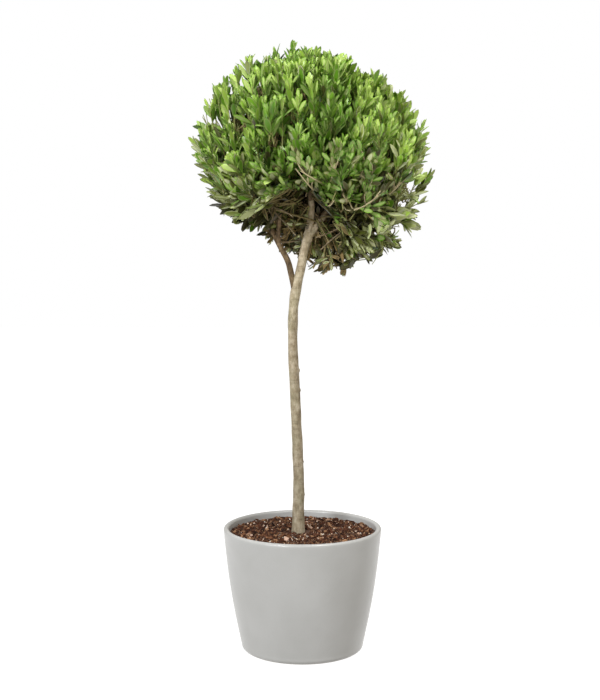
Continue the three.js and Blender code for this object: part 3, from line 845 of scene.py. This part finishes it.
def shoot_twig(tubes, start, base, heading, reach, slot):
    """A shoot's twig, from its branch. It ends where it comes to an opening, at the share returned."""
    link = bend(start, base - heading * np.linalg.norm(base - start) * 0.3, base, LINK_POINTS)
    shares = np.linspace(0, 1, 9)
    open_at = shares[covered(base + np.outer(shares * reach, heading), SKY)]
    grown = open_at[0] if len(open_at) else 1.0
    if grown > 0:
        line = np.vstack([link, base + heading * reach * grown * 0.55, base + heading * reach * grown])
        joint = LINK_POINTS - 1
        radii = np.interp(np.arange(len(line)), [0, joint, len(line) - 1], SHOOT_RADII)
        tubes.add(line[:LINK_POINTS], radii[:LINK_POINTS], 4, TWIG_BARK)
        tubes.add(line[joint:], radii[joint:], 4, slot)
    return grown


def grow_shoot(leaves, tubes, start, direction, tip, heading, tone, olive, dry, first_pair, slot):
    """One leafy shoot: a bent twig, bare up to its first pair of leaves, and a tuft at its end."""
    length = rng.uniform(*SHOOT_LENGTHS)
    base = tip - heading * length
    for _ in range(6):
        if inside_crown(base, 0.9) and not in_hollow(base):
            break
        heading = unit(heading + 0.5 * direction)
        base = tip - heading * length
    reach = length - TIP_GAP
    grown = shoot_twig(tubes, start, base, heading, reach, slot)
    turn = rng.uniform(0, np.pi)
    first = unit(np.cross(heading, UP + jitter(0.2)))
    second = np.cross(heading, first)
    outlook = direction + 0.3 * UP
    low = float(np.clip(0.1 - direction[2], 0, 0.6))
    stature = (1 + 0.35 * low) * rng.uniform(0.86, 1.24)
    pairs = rng.integers(5, 8)
    for n in range(pairs):
        share = first_pair + (LAST_PAIR - first_pair) * n / (pairs - 1)
        angle = turn + n * np.pi / 2
        outward = math.cos(angle) * first + math.sin(angle) * second
        spread = math.radians(40 - 22 * share + rng.normal(0, 10))
        size = stature * (1.06 - 0.3 * max(0, share - 0.5) / 0.5) * rng.uniform(0.84, 1.12)
        for sign in (1, -1):
            if chance(MISSING_LEAVES):
                continue
            towards = math.cos(spread) * heading + math.sin(spread) * sign * outward
            normal = math.sin(spread) * heading - math.cos(spread) * sign * outward
            normal = 0.6 * normal + 0.6 * outlook + jitter(0.32 + 0.3 * low)
            # Painted shade: leaves nearer the shoot's base, deeper in the crown, get darker tints, more so
            # low down.
            depth = 1.2 + 1.5 * low - (2.2 + 2.3 * low) * share
            tint = pick_tint(tone + depth + rng.normal(0, 0.8 + 1.2 * low), olive, dry)
            width, curl = LEAF_WIDTH * size * rng.uniform(0.85, 1.14), rng.normal(0.03, 0.1)
            if share <= grown:
                leaves.add(base + heading * reach * share, towards, normal, LEAF_LENGTH * size, width,
                           curl, tint)
    for k in range(3):
        angle = turn + k * 2.1
        lean = 0.26 * (math.cos(angle) * first + math.sin(angle) * second)
        size = rng.uniform(0.8, 1.1)
        normal = outlook - 1.2 * lean + jitter(0.25)
        tint = pick_tint(tone - 1.5 + rng.normal(0, 0.3), olive * min(1.0, 0.5 + 0.6 * olive))
        if grown == 1.0:
            leaves.add(tip - heading * (15 - k), heading + lean, normal, TUFT_LENGTH * size,
                       TUFT_WIDTH * size, 0.03, tint)


def branchlet(tubes, dry, start, heading, length, radius, depth):
    """A bare brown twig with side twigs, down to a depth of 2, where it has a few dry leaves."""
    end = start + heading * length
    control = start + heading * length * 0.5 + jitter(0.09) * length - 0.06 * length * UP
    if not inside_crown(end, 0.86):
        return
    line = bend(start, control, end, 6)
    tubes.add(line, np.linspace(radius, radius * 0.55, 6), 5, TWIG_BARK if depth else BRANCH_BARK)
    if depth == 2:
        for _ in range(3):
            towards = unit(heading + jitter(0.7))
            dry.add(line[rng.integers(2, 6)], towards, jitter(1), rng.uniform(9, 20),
                    rng.uniform(3, 6), rng.normal(0, 0.3), pick_tint(3, 0, 1))
        return
    for _ in range(3):
        side = unit(heading + jitter(0.62) + 0.15 * UP)
        branchlet(tubes, dry, line[rng.integers(2, 6)], side, length * rng.uniform(0.5, 0.85),
                  radius * 0.6, depth + 1)


def grow_brush(tubes):
    """The bare twigs inside the hollow, grown from the boughs that cross it, and their dry leaves."""
    dry = Leaves()
    for name, low, high, count in BRUSH:
        line, _ = smooth_line(bough_points(name), 2.0)
        for _ in range(count):
            start = line[int(rng.uniform(low, high) * (len(line) - 1))]
            heading = unit(jitter(1) * (1, 0.5, 0.45) + (0, 0.6, 0.5))
            branchlet(tubes, dry, start, heading, rng.uniform(34, 60), 1.7, 0)
    return dry


def sprig(leaves, tubes, point, heading, olive):
    """A short twig that ends at a point, with small dull leaves."""
    root = point - heading * rng.uniform(18, 34)
    line = bend(root, (root + point) / 2 + jitter(3), point, 4)
    tubes.add(line, [1.3, 1.2, 1.0, 0.6], 4, TWIG_BARK)
    for share in np.linspace(0.25, 1.0, 9):
        towards = unit(heading + jitter(0.6))
        leaves.add(root + (point - root) * share, towards, jitter(1) + (0, -0.8, 0.3),
                   rng.uniform(12, 22), rng.uniform(4.2, 6.6), rng.normal(0.05, 0.15),
                   pick_tint(3.3 + rng.normal(0, 1.3), olive, 0.7))


def grow_lining(tubes):
    """Brownish sprigs at the back of the hollow and under the forks, where little light comes."""
    leaves = Leaves()
    for _ in range(LINING_SPRIGS):
        side = unit(jitter(1))
        side[1] = abs(side[1])
        point = HOLLOW_CENTRE + side * (HOLLOW_RADII + HOLLOW_MARGIN + rng.uniform(2, 26))
        if not inside_crown(point, 0.93) or point[1] < LINING_FRONT:
            continue
        sprig(leaves, tubes, point, unit(jitter(0.8) - 0.5 * side + (0, -0.3, 0.15)), 0.8)
    for _ in range(THICKET_SPRIGS):
        way = sphere_direction(rng.uniform(-70, 130), rng.uniform(-88, -52))
        point = crown_point(way, rng.uniform(0.55, 0.93))
        beside_stem = point[0] > 30 and point[1] > -30 and point[2] < 605
        if point[1] < LINING_FRONT and not beside_stem or not chance(1.6 * bare_zone(point)):
            continue
        if not covered(point[None], WINDOWS).any():
            sprig(leaves, tubes, point, unit(way + jitter(0.7)), 0.95)
    return leaves


def grow_runner(leaves, tubes, azimuth, elevation):
    """A pale twig that runs up over the front of the crown, forks and ends in leafy shoots."""
    direction = sphere_direction(azimuth, elevation)
    foot = crown_point(direction, 0.6)
    if in_hollow(crown_point(direction, 1), 0) or in_hollow(foot):
        return
    turn, climb = rng.uniform(-13, 13), rng.uniform(6, 13)
    ways = [sphere_direction(azimuth + turn * k, elevation + climb * k) for k in (0, 0.5, 1)]
    points = [crown_point(way, share) for way, share in zip(ways, (0.82, 0.9, 0.93))]
    line, _ = smooth_line([foot] + points, 6)
    tubes.add(line, np.linspace(1.5, 0.8, len(line)), 5, RUNNER_BARK)
    for _ in range(3):
        start = line[rng.integers(len(line) // 2, len(line))]
        heading = unit(ways[-1] * 0.5 + UP * 0.8 + jitter(0.45))
        tip = start + heading * rng.uniform(20, 36)
        if not inside_crown(tip, 0.97):
            continue
        fork = bend(start, (start + tip) / 2 + jitter(2), tip, 4)
        tubes.add(fork, [1.0, 0.9, 0.7, 0.5], 4, RUNNER_BARK)
        # Painted light: runners higher on the crown get paler leaves.
        tone = 3.5 - direction[2] + rng.normal(0, 0.5)
        for share in np.linspace(0.35, 0.95, 8):
            towards = unit(heading + jitter(0.42))
            leaves.add(start + (tip - start) * share, towards, direction + jitter(0.4),
                       rng.uniform(15, 22), rng.uniform(6.0, 8.0), rng.normal(0.03, 0.1),
                       pick_tint(tone + rng.normal(0, 0.7), 0.45))


# ---- The crown ----
def grow_branches(tubes, number, branch_ways, mine):
    """The stem of a mass and its branches, returned as lines by the branch's number."""
    base = BASES[NAMES[number]]
    fork = CROWN_CENTRE + FORK_SHARE * REACHES[number] * AXES[number]
    stem = np.vstack([base, (base + fork) / 2 + jitter(1.5), fork])
    tubes.add(stem, [2.6, 2.3, 1.9], 8, BRANCH_BARK)
    lines = {}
    for branch in mine:
        way = branch_ways[branch]
        end = crown_point(way, BRANCH_REACH)
        root = fork + 0.4 * (end - fork)
        knee = base + 0.55 * (fork - base)
        inner = bend(knee, fork - 0.2 * (end - fork) + jitter(2), root, 5)
        outer = bend(root, root + 0.5 * (end - root) + jitter(2.5), end, 4)
        lines[branch] = np.vstack([inner, outer[1:]])
        tubes.add(lines[branch], np.linspace(2.1, 0.9, len(lines[branch])), 6, BRANCH_BARK)
    return lines


def shoot_tone(direction, side):
    """How dark a shoot's leaves are, as painted light and shade: paler at the top, the sides and the front
    of the middle, with patches of painted shade and light.
    """
    height = direction[2]
    ahead = max(0.0, -direction[1]) ** 2 * max(0.0, 1 - 1.6 * abs(height))
    tone = 3.6 - 1.1 * height - (0.5 if direction[0] < 0 else 1.15) * side
    tone -= 0.5 * ahead
    for azimuth, elevation, sharpness, change in PAINTED_SHADING_PATCHES:
        tone += change * max(0.0, direction @ sphere_direction(azimuth, elevation)) ** sharpness
    return tone


def grow_mass(leaves, tubes, ways, lines, branch_ways, branch_reach, branch_tone):
    """The shoots of a mass: one for each way, but for some below, by chance, and in the hollow."""
    mine = np.array(list(lines))
    for direction in ways:
        nearest = mine[np.argmax(branch_ways[mine] @ direction)]
        away = math.acos(min(1.0, branch_ways[nearest] @ direction)) / SPRAY_SPREAD
        height = direction[2]
        under = float(np.clip(0.25 - height, 0, 1))
        if chance(0.35 * max(0.0, under - 0.35)):
            continue
        # The shoots that end furthest from a branch's direction end lowest, so each spray is domed.
        share = branch_reach[nearest] - (0.08 + 0.05 * under) * min(1.8, away**2) - abs(rng.normal(0, 0.03))
        share -= 0.16 * max(0.0, -0.5 - height)
        if chance(LONG_SHOOTS):
            share += LONG_EXTRA
        tip = crown_point(direction, min(share, SHOOT_LIMIT))
        if in_hollow(tip):
            continue
        line = lines[nearest]
        start = line[rng.integers(3, len(line))]
        lift = 0.3 + 1.7 * np.clip((height + 0.5) / 0.5, 0, 1)
        heading = unit(direction + UP * lift + jitter(0.32))
        side = abs(direction[0]) ** 1.5
        tone = shoot_tone(direction, side)
        tone += branch_tone[nearest] + rng.normal(0, 0.4)
        shade = bare_zone(tip)
        if direction[1] < 0.2 and chance(0.6 * shade):
            continue
        olive = np.clip(0.05 + 0.55 * side - 1.3 * height + 0.5 * shade, 0.04, 0.94)
        first_pair = 0.5 if height < 0.2 and chance(0.22) else FIRST_PAIR
        dry = 0.55 * shade
        grow_shoot(leaves, tubes, start, direction, tip, heading, tone, olive, dry, first_pair, SHOOT_BARK)
        if chance(INNER_SHOOTS):
            tip = crown_point(direction, rng.uniform(*INNER_REACH))
            if not in_hollow(tip):
                heading = unit(heading + jitter(0.35))
                # Painted shade: inner shoots get darker tints, more so low down.
                grow_shoot(leaves, tubes, start, direction, tip, heading, tone + 2.0 + 1.2 * under,
                           min(0.9, olive + 0.3), dry, FIRST_PAIR, INNER_BARK)


def twig_materials():
    return [
        plain("twig_pale", (142, 144, 88), 0.7, 0.2),
        plain("twig_brown", (132, 120, 80), 0.8, 0.2),
        bark_material("bark_branches", (152, 136, 108), (118, 102, 78), (70, 58, 42), (100, 98, 66)),
        plain("twig_runner", (176, 164, 128), 0.75, 0.3),
        plain("twig_inner", (104, 94, 57), 0.8, 0.1),
    ]


def make_crown():
    branch_ways = spiral(BRANCHES)
    branch_mass = np.argmax(branch_ways @ AXES.T, axis=1)
    shoot_ways = unit(spiral(SHOOTS) + rng.normal(0, 0.025, (SHOOTS, 3)))
    shoot_mass = np.argmax(shoot_ways @ AXES.T, axis=1)
    branch_reach = 0.955 + rng.normal(0, 0.048, BRANCHES)
    branch_tone = rng.normal(0, 0.7, BRANCHES)
    tubes = Tubes()
    masses = {name: Leaves() for name in NAMES}
    for number, leaves in enumerate(masses.values()):
        lines = grow_branches(tubes, number, branch_ways, np.where(branch_mass == number)[0])
        grow_mass(leaves, tubes, shoot_ways[shoot_mass == number], lines, branch_ways, branch_reach,
                  branch_tone)
    for _ in range(RUNNERS):
        grow_runner(masses["front"], tubes, rng.uniform(-140, -35), rng.uniform(-34, -4))
    materials = leaf_materials()
    for name, leaves in masses.items():
        piece = leaves.build("foliage_" + name, materials)
        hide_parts("leaves_" + name)
    for name, grow in (("dry_leaves", grow_brush), ("lining_leaves", grow_lining)):
        piece = grow(tubes).build(name, materials, trimmed=False)
    twigs = tubes.build("twigs", twig_materials())


make_camera()
make_studio()
make_floor()
make_pot()
make_soil()
make_chips()
make_limbs()
make_crown()
